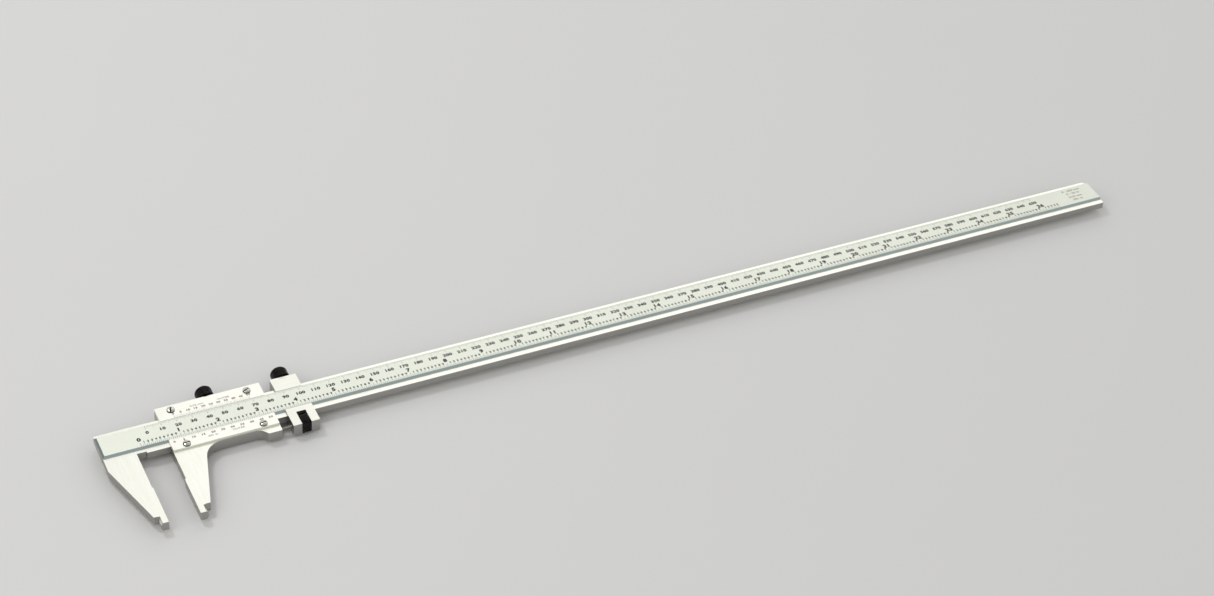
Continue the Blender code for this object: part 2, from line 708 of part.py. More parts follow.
def make_carriage(parent):
    corners = [
        (0, CARRIAGE_TOP, CORNER_RADIUS),
        (0, CARRIAGE_BOTTOM, CORNER_RADIUS),
        (CARRIAGE_LENGTH, CARRIAGE_BOTTOM, CORNER_RADIUS),
        (CARRIAGE_LENGTH, CARRIAGE_TOP, CORNER_RADIUS),
    ]
    carriage = place("carriage", prism(corners, SLIDER_BACK, 0), parent, GROUND_STEEL)
    lip = -PANEL_RISE + SLIDE_GAP
    lean = PANEL_BEVEL * 2 * -lip / PANEL_RISE
    top_edge = PANEL_TOP + READING_GAP
    bottom_edge = PANEL_BOTTOM - READING_GAP
    around_bar = [
        (LOWER_EDGE - SLIDE_GAP, CHANNEL_FLOOR),
        (UPPER_EDGE + SLIDE_GAP, CHANNEL_FLOOR),
        (UPPER_EDGE + SLIDE_GAP, lip),
        (top_edge + lean / 2, lip),
        (top_edge - lean / 2, -lip),
        (bottom_edge + lean / 2, -lip),
        (bottom_edge - lean / 2, lip),
        (LOWER_EDGE - SLIDE_GAP, lip),
    ]
    cut(carriage, "bar_way", prism(around_bar, -OVERCUT, CARRIAGE_LENGTH + OVERCUT, "YZ"))
    pocket = block(
        (GIB_END_WALL, UPPER_EDGE - CLEAR_GAP, GIB_REAR - CLEAR_GAP / 2),
        (CARRIAGE_LENGTH - GIB_END_WALL, POCKET_TOP, GIB_FRONT + CLEAR_GAP / 2),
    )
    cut(carriage, "carriage_gib_pocket", pocket)
    clamp_hole = drill(SHANK_RADIUS + THREAD_GAP, GIB_TOP, CARRIAGE_TOP + OVERCUT)
    cut(carriage, "clamp_thread", clamp_hole, (CARRIAGE_MIDDLE, 0, LOCK_Z), ALONG_Y)
    half_slot = NUT_WIDTH / 2 + NUT_SIDE_GAP
    nut_slot = block(
        (CARRIAGE_MIDDLE - half_slot, CARRIAGE_BOTTOM - OVERCUT, SLIDER_BACK - OVERCUT),
        (CARRIAGE_MIDDLE + half_slot, LOWER_EDGE + SLIDE_GAP, OVERCUT),
    )
    cut(carriage, "nut_slot", nut_slot)
    rod_way = drill(ROD_RADIUS + CLEAR_GAP, -OVERCUT, CARRIAGE_LENGTH + OVERCUT)
    cut(carriage, "rod_way", rod_way, (0, ROD_Y, -ROD_DEPTH), ALONG_X)


def make_adjusting_screw(parent):
    """The threaded rod, held in the slider's lug and free in the carriage."""
    length = ROD_SEAT + CARRIAGE_GAP + CARRIAGE_LENGTH - ROD_END_INSET
    outline = [
        (0, length),
        (ROD_RADIUS - KNOB_CHAMFER, length),
        (ROD_RADIUS, length - KNOB_CHAMFER),
        (ROD_RADIUS, 0),
        (0, 0),
    ]
    location = (SLIDER_END - ROD_SEAT, ROD_Y, -ROD_DEPTH)
    turn(place("adjusting_screw", profile(outline), parent, THREAD_STEEL, location, ALONG_X))


def make_set_screw(parent):
    """Pins the rod in the lug, from below."""
    low = -LUG_BELOW_ROD + CLEAR_GAP
    high = -ROD_RADIUS - SEAT_GAP
    outline = [(0, high), (SET_SCREW_RADIUS, high), (SET_SCREW_RADIUS, low), (0, low)]
    location = (SLIDER_END - ROD_SEAT / 2, ROD_Y, -ROD_DEPTH)
    name = "adjusting_screw_set_screw"
    turn(place(name, profile(outline), parent, THREAD_STEEL, location, ALONG_Y))


def make_nut(parent):
    half = NUT_WIDTH / 2
    bore = ROD_RADIUS + THREAD_GAP
    outline = [
        (NUT_RADIUS - NUT_CHAMFER, half),
        (NUT_RADIUS, half - NUT_CHAMFER),
        (NUT_RADIUS, NUT_CHAMFER - half),
        (NUT_RADIUS - NUT_CHAMFER, -half),
        (bore, -half),
        (bore, half),
    ]
    location = (CARRIAGE_MIDDLE, ROD_Y, -ROD_DEPTH)
    turn(place("adjusting_nut", profile(outline, closed=True), parent, BLACK_OXIDE, location, ALONG_X))


def main():
    middle_x = (BEAM_START + BEAM_END) / 2
    middle_y = (JAW_TIP + KNOB_END) / 2
    measuring_frame = frame("measuring_frame", None, (-middle_x, -middle_y, REST_DEPTH))
    slider_frame = frame("slider_frame", measuring_frame, (OPENING, 0, 0))
    carriage_frame = frame("carriage_frame", slider_frame, (SLIDER_END + CARRIAGE_GAP, 0, 0))

    make_beam(measuring_frame)
    make_slider(slider_frame)
    make_front_plates(slider_frame)
    make_rear_plates(slider_frame)
    make_plate_screws(slider_frame)
    gib_start = SLIDER_START + GIB_END_WALL + CLEAR_GAP
    gib_end = SLIDER_END - GIB_END_WALL - CLEAR_GAP
    make_gib("slider_gib", slider_frame, gib_start, gib_end)
    make_gib_spring("slider_gib_spring", slider_frame, gib_start, gib_end)
    lock_x = SLIDER_START + SLIDER_LENGTH / 2
    make_clamping_screw("slider_lock_screw", slider_frame, lock_x, SLIDER_TOP)

    make_carriage(carriage_frame)
    gib_start = GIB_END_WALL + CLEAR_GAP
    gib_end = CARRIAGE_LENGTH - gib_start
    make_gib("carriage_gib", carriage_frame, gib_start, gib_end)
    make_gib_spring("carriage_gib_spring", carriage_frame, gib_start, gib_end)
    make_clamping_screw("carriage_clamp_screw", carriage_frame, CARRIAGE_MIDDLE, CARRIAGE_TOP)
    make_adjusting_screw(slider_frame)
    make_set_screw(slider_frame)
    make_nut(carriage_frame)


main()
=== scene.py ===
"""The visible surface of a 24 inch vernier caliper, laid out as an add-on and run as a script."""

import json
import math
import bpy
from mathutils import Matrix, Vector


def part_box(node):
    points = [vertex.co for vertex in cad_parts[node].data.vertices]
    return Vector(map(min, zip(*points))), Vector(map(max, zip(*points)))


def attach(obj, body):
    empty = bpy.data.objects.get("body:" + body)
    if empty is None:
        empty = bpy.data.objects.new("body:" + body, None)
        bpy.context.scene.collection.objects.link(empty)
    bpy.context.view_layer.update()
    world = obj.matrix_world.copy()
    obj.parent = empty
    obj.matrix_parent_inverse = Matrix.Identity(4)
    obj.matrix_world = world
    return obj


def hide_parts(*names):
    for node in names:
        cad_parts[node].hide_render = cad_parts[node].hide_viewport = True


bl_info = {
    "name": "Vernier Caliper Surface",
    "version": (1, 0, 0),
    "blender": (4, 5, 0),
    "location": "View3D > Sidebar > Caliper",
    "description": "Finishes, graduations, numbers and knurling for a long vernier caliper",
    "category": "Add Mesh",
}

import bpy
from bpy.props import FloatProperty, FloatVectorProperty, IntProperty, PointerProperty
from mathutils import Matrix, Vector

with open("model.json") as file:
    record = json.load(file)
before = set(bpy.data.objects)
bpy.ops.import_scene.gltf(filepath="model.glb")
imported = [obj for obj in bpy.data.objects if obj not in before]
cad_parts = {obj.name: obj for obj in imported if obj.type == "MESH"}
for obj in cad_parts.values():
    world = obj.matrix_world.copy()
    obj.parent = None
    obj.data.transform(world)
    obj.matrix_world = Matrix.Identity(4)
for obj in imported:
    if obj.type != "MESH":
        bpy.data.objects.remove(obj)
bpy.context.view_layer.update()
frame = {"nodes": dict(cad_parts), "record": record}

MM = 0.001
INCH = 25.4 * MM
HAIR = 1e-6  # places this near in metres count as one
MOUNTS = {mount["name"]: Vector(mount["pos_m"]) for mount in frame["record"]["mounts"]}

# Places on the caliper that the scales start from
FIXED_FACE_X = MOUNTS["fixed_jaw_face"].x
SLIDING_FACE_X = MOUNTS["sliding_jaw_face"].x
BAR_AXIS_Y = MOUNTS["beam_end"].y
BAR_END_X = MOUNTS["beam_end"].x
SCALE_FACE_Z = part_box("beam")[1].z
BAR_UPPER_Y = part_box("beam")[1].y
BAR_LOWER_Y = 2 * BAR_AXIS_Y - BAR_UPPER_Y


# Sizes, colours and the stage


def metres(name, description, default):
    return FloatProperty(
        name=name, description=description, default=default, unit="LENGTH", precision=6
    )


def tint(name, description, default):
    return FloatVectorProperty(
        name=name, description=description, default=default, subtype="COLOR"
    )


def degrees(name, description, default):
    return FloatProperty(
        name=name, description=description, default=math.radians(default), subtype="ANGLE"
    )


class CaliperSizes(bpy.types.PropertyGroup):
    edge: metres("Edge radius", "Width of the broken edges on the ground steel pieces", 0.16 * MM)
    zero_offset: metres(
        "Zero offset", "From a jaw's measuring face to its metric zero line", 10.65 * MM
    )
    inch_zero_offset: metres(
        "Inch zero offset", "From a jaw's measuring face to its inch zero line", 3.85 * MM
    )
    nib_pair: metres(
        "Nib pair", "Both nibs together, which the inside scales allow for", 10 * MM
    )
    panel_top: metres("Panel top", "From the bar's upper edge down to the scale panel", 3.4 * MM)
    panel_bottom: metres(
        "Panel bottom", "From the bar's lower edge up to the scale panel", 5.0 * MM
    )
    bar_thickness: metres("Bar thickness", "From the scale face to the back of the bar", 6.35 * MM)
    line_width: metres("Line width", "Width of a graduation line", 0.18 * MM)
    ink_rise: metres(
        "Filling height", "How far the filling of the marks stands out of the steel", 0.012 * MM
    )
    metric_number: metres(
        "Metric number height", "Height of the numbers on the metric scale", 2.4 * MM
    )
    inch_number: metres("Inch number height", "Height of the whole inch numbers", 3.0 * MM)
    digit_spread: metres(
        "Inch digit spread", "From an inch line to each digit of a two-figure number", 1.35 * MM
    )
    small_number: metres("Small number height", "Height of the tenth and vernier numbers", 1.6 * MM)
    number_width: FloatProperty(
        name="Number width",
        description="How much wider the numbers are than the plain typeface",
        default=1.15,
        min=0.5,
        max=2.0,
    )
    number_weight: FloatProperty(
        name="Number weight",
        description="How much the strokes are thickened, as a share of the height",
        default=0.07,
        min=0.0,
        max=0.1,
    )
    knurl_depth: metres("Knurl depth", "Depth of the diamond knurling", 0.22 * MM)
    knurl_count: IntProperty(
        name="Knurl count",
        description="Diamonds round a knob",
        default=40,
        min=12,
        max=80,
    )
    thread_pitch: metres(
        "Adjusting pitch", "Pitch of the fine-adjustment thread, 40 to the inch", INCH / 40
    )


class CaliperColours(bpy.types.PropertyGroup):
    satin_chrome: tint("Satin chrome", "Scale panel and bar", (0.76, 0.782, 0.695))
    ground_steel: tint("Ground steel", "Jaws, ledges, slide and plates", (0.905, 0.902, 0.82))
    # Painted shade: the narrow sides get this darker copy of the ground steel, standing in for the
    # shade and dark reflections on them.
    edge_steel: tint("Edge steel", "Narrow sides of the jaws, bar and slide", (0.42, 0.41, 0.39))
    # Painted reflection: the bevels beside the panel are darkened and blued, standing in for dark
    # surroundings mirrored in them.
    bevel_steel: tint("Milled bevel", "Bevels beside the scale panel", (0.32, 0.375, 0.37))
    bright_steel: tint("Bright steel", "Slotted screws", (0.60, 0.585, 0.54))
    black_oxide: tint("Black oxide", "Knobs and adjusting nut", (0.0035, 0.0035, 0.004))
    marking: tint("Marking black", "Filling of the bar's lines and numbers", (0.006, 0.006, 0.006))
    worn_marking: tint("Worn marking", "Filling of the finer vernier marks", (0.16, 0.13, 0.115))
    # Painted shade: this dark brown fills the screw slots and the sides of the screw heads,
    # standing in for the shade there. On the knobs and nut it is a random brown tint of handling.
    grime: tint("Grime", "Old oil in screw slots and round their heads", (0.030, 0.026, 0.018))
    brass: tint("Gib brass", "Strips between the slide and the bar", (0.62, 0.43, 0.16))
    floor: tint("Floor", "Floor under the caliper", (0.68, 0.675, 0.665))


class CaliperStage(bpy.types.PropertyGroup):
    target: FloatVectorProperty(
        name="Target",
        description="Point on the scale face that the camera looks at",
        subtype="TRANSLATION",
        size=3,
        default=(-0.0136, 0.0384, SCALE_FACE_Z),
    )
    distance: metres("Distance", "Camera to target", 1.655)
    azimuth: degrees("Azimuth", "Turn of the view from +Y toward +X", 28.47)
    elevation: degrees("Elevation", "Height of the view above the horizon", 40.18)
    roll: degrees("Roll", "Tilt of the camera about its own axis", 4.91)
    lens: FloatProperty(
        name="Lens",
        description="Focal length in millimetres on a 36 mm sensor",
        default=73.53,
    )


def sizes():
    return bpy.context.scene.caliper_sizes


def colours():
    return bpy.context.scene.caliper_colours


# Shared node groups


def new_group(name, inputs, outputs):
    """An empty shader node group. Inputs are (name, socket type, default)."""
    group = bpy.data.node_groups.new(name, "ShaderNodeTree")
    for label, kind, default in inputs:
        socket = group.interface.new_socket(name=label, in_out="INPUT", socket_type=kind)
        if default is not None:
            socket.default_value = default
    for label, kind in outputs:
        group.interface.new_socket(name=label, in_out="OUTPUT", socket_type=kind)
    return group, group.nodes.new("NodeGroupInput"), group.nodes.new("NodeGroupOutput")


def feed(tree, value, socket):
    """Sets a socket to a number, or links another node's output to it."""
    if isinstance(value, (int, float)):
        socket.default_value = value
    else:
        tree.links.new(value, socket)


def multiplied(tree, first, second):
    node = tree.nodes.new("ShaderNodeMath")
    node.operation = "MULTIPLY"
    feed(tree, first, node.inputs[0])
    feed(tree, second, node.inputs[1])
    return node.outputs[0]


def noise(tree, vector, scale, detail, roughness=0.5):
    node = tree.nodes.new("ShaderNodeTexNoise")
    feed(tree, vector, node.inputs["Vector"])
    feed(tree, scale, node.inputs["Scale"])
    feed(tree, detail, node.inputs["Detail"])
    feed(tree, roughness, node.inputs["Roughness"])
    return node.outputs["Fac"]


def ranged(tree, value, limits):
    """A value taken from one range to another. The limits have their sockets' names."""
    node = tree.nodes.new("ShaderNodeMapRange")
    for name, limit in limits.items():
        node.inputs[name].default_value = limit
    feed(tree, value, node.inputs["Value"])
    return node.outputs[0]


def grinding_group():
    """Fine scratches and broader streaks, drawn out where the stretch is small."""
    group, entry, leave = new_group(
        "grinding_marks",
        [
            ("Vector", "NodeSocketVector", None),
            ("Stretch", "NodeSocketVector", (1.0, 1.0, 1.0)),
            ("Fineness", "NodeSocketFloat", 1000.0),
        ],
        [("Height", "NodeSocketFloat"), ("Streak", "NodeSocketFloat")],
    )
    scaled = group.nodes.new("ShaderNodeVectorMath")
    scaled.operation = "MULTIPLY"
    group.links.new(entry.outputs["Vector"], scaled.inputs[0])
    group.links.new(entry.outputs["Stretch"], scaled.inputs[1])
    fine = noise(group, scaled.outputs[0], entry.outputs["Fineness"], 3.0)
    broader = multiplied(group, entry.outputs["Fineness"], 0.45)
    broad = noise(group, scaled.outputs[0], broader, 1.0)
    group.links.new(fine, leave.inputs["Height"])
    group.links.new(broad, leave.inputs["Streak"])
    return group


def handling_group():
    """Soft smudges, from 0 where clean to the amount where handled."""
    group, entry, leave = new_group(
        "handling",
        [
            ("Vector", "NodeSocketVector", None),
            ("Size", "NodeSocketFloat", 60.0),
            ("Amount", "NodeSocketFloat", 1.0),
        ],
        [("Smudge", "NodeSocketFloat")],
    )
    cloud = noise(group, entry.outputs["Vector"], entry.outputs["Size"], 4.0, 0.62)
    shaped = ranged(group, cloud, {"From Min": 0.42, "From Max": 0.72})
    smudge = multiplied(group, shaped, entry.outputs["Amount"])
    group.links.new(smudge, leave.inputs["Smudge"])
    return group


def blast_group():
    """The pebbled skin of satin plating: two sizes of cells."""
    group, entry, leave = new_group(
        "satin_blast",
        [("Vector", "NodeSocketVector", None), ("Grain", "NodeSocketFloat", 5000.0)],
        [("Height", "NodeSocketFloat"), ("Speckle", "NodeSocketFloat")],
    )
    pebble = noise(group, entry.outputs["Vector"], entry.outputs["Grain"], 2.0)
    coarser = multiplied(group, entry.outputs["Grain"], 0.35)
    speckle = noise(group, entry.outputs["Vector"], coarser, 0.0)
    group.links.new(pebble, leave.inputs["Height"])
    group.links.new(speckle, leave.inputs["Speckle"])
    return group


def shared_group(name, build):
    return bpy.data.node_groups.get(name) or build()


# Materials


class Finish:
    """A material under construction: its tree, its shader and its Object coordinates."""

    def __init__(self, name, metallic, roughness):
        self.material = bpy.data.materials.new(f"{name}_finish")
        self.material.use_nodes = True
        self.tree = self.material.node_tree
        self.shader = self.tree.nodes["Principled BSDF"]
        self.shader.inputs["Metallic"].default_value = metallic
        self.shader.inputs["Roughness"].default_value = roughness
        self.coordinates = self.tree.nodes.new("ShaderNodeTexCoord").outputs["Object"]

    def group(self, name, build, **values):
        node = self.tree.nodes.new("ShaderNodeGroup")
        node.node_tree = shared_group(name, build)
        self.tree.links.new(self.coordinates, node.inputs["Vector"])
        for label, value in values.items():
            node.inputs[label].default_value = value
        return node

    def drive_colour(self, factor, low, high):
        node = self.tree.nodes.new("ShaderNodeMix")
        node.data_type = "RGBA"
        self.tree.links.new(factor, node.inputs["Factor"])
        node.inputs["A"].default_value = (*low, 1.0)
        node.inputs["B"].default_value = (*high, 1.0)
        self.tree.links.new(node.outputs["Result"], self.shader.inputs["Base Color"])

    def drive_roughness(self, factor, low, high):
        roughness = ranged(self.tree, factor, {"To Min": low, "To Max": high})
        self.tree.links.new(roughness, self.shader.inputs["Roughness"])

    def bump(self, height, distance, strength):
        node = self.tree.nodes.new("ShaderNodeBump")
        node.inputs["Distance"].default_value = distance
        node.inputs["Strength"].default_value = strength
        self.tree.links.new(height, node.inputs["Height"])
        self.tree.links.new(node.outputs[0], self.shader.inputs["Normal"])


def shade(base, factor):
    return tuple(min(1.0, channel * factor) for channel in base)


def satin_chrome():
    """Pale satin plating on the scale panel, pebbled and faintly smudged."""
    finish = Finish("satin_chrome", 1.0, 0.42)
    blast = finish.group("satin_blast", blast_group, Grain=5200.0)
    smudge = finish.group("handling", handling_group, Size=38.0, Amount=1.0)
    base = colours().satin_chrome
    finish.drive_colour(blast.outputs["Speckle"], shade(base, 0.93), shade(base, 1.06))
    finish.drive_roughness(smudge.outputs["Smudge"], 0.40, 0.47)
    finish.bump(blast.outputs["Height"], 0.010 * MM, 0.35)
    return finish.material


def ground_steel(name, stretch, key, share, roughness):
    """Metal ground in one direction, with scratches along the stretch's small axis."""
    low, high = roughness
    finish = Finish(name, 1.0, low)
    marks = finish.group("grinding_marks", grinding_group, Stretch=stretch, Fineness=2600.0)
    smudge = finish.group("handling", handling_group, Size=55.0, Amount=0.8)
    base = shade(getattr(colours(), key), share)
    finish.drive_colour(marks.outputs["Streak"], shade(base, 0.93), shade(base, 1.03))
    finish.drive_roughness(smudge.outputs["Smudge"], low, high)
    finish.bump(marks.outputs["Height"], 0.012 * MM, 0.45)
    return finish.material


def black_oxide():
    """Blackened steel, browned a little by handling."""
    finish = Finish("black_oxide", 0.0, 0.34)
    finish.shader.inputs["Specular IOR Level"].default_value = 0.14
    smudge = finish.group("handling", handling_group, Size=420.0, Amount=1.0)
    clean = tuple(colours().black_oxide)
    finish.drive_colour(smudge.outputs["Smudge"], clean, shade(colours().grime, 0.6))
    finish.drive_roughness(smudge.outputs["Smudge"], 0.16, 0.30)
    grain = finish.group("satin_blast", blast_group, Grain=7000.0)
    finish.bump(grain.outputs["Height"], 0.008 * MM, 0.4)
    return finish.material


def filling(name, base):
    """Paint in the engraved lines and numbers, or painted shade in screw slots and round screw
    heads.
    """
    finish = Finish(name, 0.0, 0.55)
    finish.shader.inputs["Specular IOR Level"].default_value = 0.15
    grain = finish.group("satin_blast", blast_group, Grain=9000.0)
    finish.drive_colour(grain.outputs["Speckle"], tuple(base), shade(base, 2.2))
    finish.drive_roughness(grain.outputs["Speckle"], 0.5, 0.65)
    return finish.material


# Ground metals: stretch of the scratches, colour, share of that colour, roughness range
GROUND_METALS = {
    "ground_steel": ((0.04, 1.0, 1.0), "ground_steel", 1.0, (0.24, 0.33)),
    "jaw_steel": ((1.0, 0.04, 1.0), "ground_steel", 1.0, (0.24, 0.33)),
    "carriage_steel": ((0.06, 1.0, 1.0), "ground_steel", 0.92, (0.28, 0.36)),
    # Painted shade: a darker copy of the ground steel for the narrow sides
    "edge_steel": ((0.05, 0.05, 1.0), "edge_steel", 1.0, (0.30, 0.42)),
    # Painted reflection: a darker, bluer steel for the bevels beside the panel
    "bevel_steel": ((0.03, 1.0, 1.0), "bevel_steel", 1.0, (0.28, 0.36)),
    "bright_steel": ((0.3, 1.0, 1.0), "bright_steel", 1.0, (0.20, 0.32)),
    "thread_steel": ((1.0, 1.0, 1.0), "bright_steel", 0.75, (0.3, 0.4)),
    "gib_brass": ((0.05, 1.0, 1.0), "brass", 1.0, (0.3, 0.42)),
}
# Painted shade: one filling is the dark colour laid in the screw slots and round the screw heads
FILLINGS = {"marking_black": "marking", "worn_marking": "worn_marking", "grime": "grime"}
FINISHED = {}


def material(name):
    """The finish of this name, made at its first use. The frame has plain ones of like names."""
    if name not in FINISHED:
        if name in GROUND_METALS:
            FINISHED[name] = ground_steel(name, *GROUND_METALS[name])
        elif name in FILLINGS:
            FINISHED[name] = filling(name, getattr(colours(), FILLINGS[name]))
        else:
            FINISHED[name] = {"satin_chrome": satin_chrome, "black_oxide": black_oxide}[name]()
    return FINISHED[name]


# Working by hand


def deselect():
    if bpy.context.mode != "OBJECT":
        bpy.ops.object.mode_set(mode="OBJECT")
    bpy.ops.object.select_all(action="DESELECT")


def take(piece):
    """Makes the piece the only selected and active one."""
    deselect()
    piece.select_set(True)
    bpy.context.view_layer.objects.active = piece


def pick(piece, mode, wanted):
    """In edit mode, selects only the faces, edges or vertices that the test accepts."""
    bpy.ops.mesh.select_mode(type=mode)
    bpy.ops.mesh.select_all(action="DESELECT")
    bpy.ops.object.mode_set(mode="OBJECT")
    kinds = {"FACE": "polygons", "EDGE": "edges", "VERT": "vertices"}
    for element in getattr(piece.data, kinds[mode]):
        element.select = wanted(element)
    bpy.ops.object.mode_set(mode="EDIT")


def apply_all(piece):
    take(piece)
    for modifier in list(piece.modifiers):
        bpy.ops.object.modifier_apply(modifier=modifier.name)


def settle(piece, place):
    """Moves a piece modelled at the origin to its place and leaves its object there, unturned."""
    take(piece)
    piece.matrix_world = place
    bpy.ops.object.transform_apply(location=True, rotation=True, scale=True)


def smooth(piece, angle=30):
    take(piece)
    bpy.ops.object.shade_smooth_by_angle(angle=math.radians(angle))


def bevel_edges(piece, width, segments=2, angle=30):
    modifier = piece.modifiers.new("broken_edges", "BEVEL")
    modifier.width = width
    modifier.segments = segments
    modifier.limit_method = "ANGLE"
    modifier.angle_limit = math.radians(angle)
    modifier.use_clamp_overlap = True
    apply_all(piece)


def enter(piece, name, body, slot, *nodes, finish=None):
    """Names a finished piece and tells the frame where it belongs."""
    piece.name = name
    piece.data.name = name
    if finish:
        piece.data.materials.clear()
        piece.data.materials.append(material(finish))
    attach(piece, body)
    if nodes:
        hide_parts(*nodes)
    return piece


def joined(pieces):
    deselect()
    for piece in pieces:
        piece.select_set(True)
    bpy.context.view_layer.objects.active = pieces[0]
    bpy.ops.object.join()
    return bpy.context.view_layer.objects.active


def body_of(node):
    bodies = frame["record"]["behaviour"]["bodies"]
    return next(body for body, nodes in bodies.items() if node in nodes)


ALONG_X = Matrix.Rotation(math.radians(90), 4, "Y")
ALONG_Y = Matrix.Rotation(math.radians(-90), 4, "X")
FACE_DOWN = Matrix.Rotation(math.radians(180), 4, "X")


# Ground steel bodies


def eased(node, width):
    """A copy of a machined body with its flat faces whole and its edges broken."""
    piece = bpy.data.objects.new("eased", frame["nodes"][node].data.copy())
    bpy.context.scene.collection.objects.link(piece)
    piece.data.materials.clear()
    take(piece)
    bpy.ops.object.mode_set(mode="EDIT")
    bpy.ops.mesh.select_all(action="SELECT")
    bpy.ops.mesh.remove_doubles(threshold=0.0005 * MM)
    bpy.ops.mesh.dissolve_limited(angle_limit=math.radians(0.4))
    bpy.ops.object.mode_set(mode="OBJECT")
    bevel_edges(piece, width)
    smooth(piece)
    even = piece.modifiers.new("flat_faces_stay_flat", "WEIGHTED_NORMAL")
    even.keep_sharp = True
    even.weight = 80
    apply_all(piece)
    return piece


def assign_faces(piece, finish, wanted):
    """Gives the faces that the test accepts a second finish."""
    piece.data.materials.append(material(finish))
    index = len(piece.data.materials) - 1
    for face in piece.data.polygons:
        if wanted(face):
            face.material_index = index


# The faces that get the darker side steel as painted shade
def is_side(face):
    return abs(face.normal.z) < 0.4


class CALIPER_OT_bar(bpy.types.Operator):
    """Make the bar with its fixed jaw: satin panel, milled bevels and ground jaw"""

    bl_idname = "caliper.bar"
    bl_label = "Bar and fixed jaw"

    def execute(self, context):
        bar = eased("beam", sizes().edge)
        enter(bar, "bar_and_fixed_jaw", "bar", "satin_chrome", "beam", finish="satin_chrome")
        near = 0.3 * MM
        bevel_depth = 1.5 * MM
        bevel_area = 0.1 * MM * MM  # leaves out the thin broken edges
        panel_low = BAR_LOWER_Y + sizes().panel_bottom
        panel_high = BAR_UPPER_Y - sizes().panel_top

        def on_panel(face):
            flat = abs(face.center.z - SCALE_FACE_Z) < near
            return flat and panel_low - near < face.center.y < panel_high + near

        def on_bevel(face):
            leaning = 0.5 < face.normal.z < 0.95
            high = face.center.z > SCALE_FACE_Z - bevel_depth
            return leaning and high and face.area > bevel_area

        def on_jaw(face):
            return not on_panel(face) and face.center.y < BAR_LOWER_Y

        def on_ledge(face):
            return not on_panel(face) and face.center.y >= BAR_LOWER_Y

        assign_faces(bar, "jaw_steel", on_jaw)
        assign_faces(bar, "ground_steel", on_ledge)
        # Painted shade: the sides get the darker steel
        assign_faces(bar, "edge_steel", is_side)
        # Painted reflection: the bevels get the darker, bluer steel
        assign_faces(bar, "bevel_steel", on_bevel)
        return {"FINISHED"}


class CALIPER_OT_slide(bpy.types.Operator):
    """Make the slide with its jaw and the clamped carriage"""

    bl_idname = "caliper.slide"
    bl_label = "Slide and carriage"

    jaw_length = 50 * MM  # ground along the jaw, from its tip

    def execute(self, context):
        slide = eased("slider", sizes().edge)
        enter(slide, "slide_and_jaw", "slide", "ground_steel", "slider", finish="ground_steel")
        jaw_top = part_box("slider")[0].y + self.jaw_length
        assign_faces(slide, "jaw_steel", lambda face: face.center.y < jaw_top)
        # Painted shade: the sides get the darker steel
        assign_faces(slide, "edge_steel", is_side)
        carriage = eased("carriage", sizes().edge)
        enter(
            carriage,
            "fine_adjustment_carriage",
            "fine_carriage",
            "ground_steel",
            "carriage",
            finish="carriage_steel",
        )
        # Painted shade: the sides get the darker steel
        assign_faces(carriage, "edge_steel", is_side)
        return {"FINISHED"}


class CALIPER_OT_plates(bpy.types.Operator):
    """Make the four vernier plates, two in front and two behind"""

    bl_idname = "caliper.plates"
    bl_label = "Vernier plates"

    def execute(self, context):
        for place in ("", "inside_"):
            for row in ("metric", "inch"):
                node = f"{place}{row}_vernier_plate"
                name = f"{node}_surface"
                plate = eased(node, sizes().edge / 2)
                enter(plate, name, "slide", "ground_steel", node, finish="ground_steel")
        return {"FINISHED"}


# Turned pieces


def lathe_start(radius, height, sides):
    """A cylinder on the origin's plane, with its far cap ready to be drawn out."""
    deselect()
    bpy.ops.mesh.primitive_cylinder_add(
        vertices=sides,
        radius=radius,
        depth=height,
        end_fill_type="NGON",
        location=(0, 0, height / 2),
    )
    piece = bpy.context.active_object
    bpy.ops.object.transform_apply(location=True, rotation=True, scale=True)
    return piece


def draw_out(piece, up, steps):
    """Extrudes the top or bottom cap through (radius, height) steps."""
    take(piece)
    bpy.ops.object.mode_set(mode="EDIT")
    heights = [vertex.co.z for vertex in piece.data.vertices]
    level = max(heights) if up else min(heights)
    sign = 1 if up else -1

    def is_cap(face):
        return face.normal.z * sign > 0.9 and abs(face.center.z - level) < HAIR

    pick(piece, "FACE", is_cap)
    cap = [vertex for vertex in piece.data.vertices if abs(vertex.co.z - level) < HAIR]
    radius = max(vertex.co.xy.length for vertex in cap)
    for next_radius, next_level in steps:
        bpy.ops.mesh.extrude_region_move(
            TRANSFORM_OT_translate={"value": (0, 0, next_level - level)}
        )
        ratio = next_radius / radius
        bpy.ops.transform.resize(value=(ratio, ratio, 1), center_override=(0, 0, next_level))
        radius = next_radius
        level = next_level
    bpy.ops.object.mode_set(mode="OBJECT")


def dome_steps(radius, base, rise, count):
    """(radius, height) steps of a low dome, stopping just short of its pole."""
    pole = 0.04 * radius
    angles = [math.radians(90 * step / count) for step in range(1, count + 1)]
    return [(max(radius * math.cos(a), pole), base + rise * math.sin(a)) for a in angles]


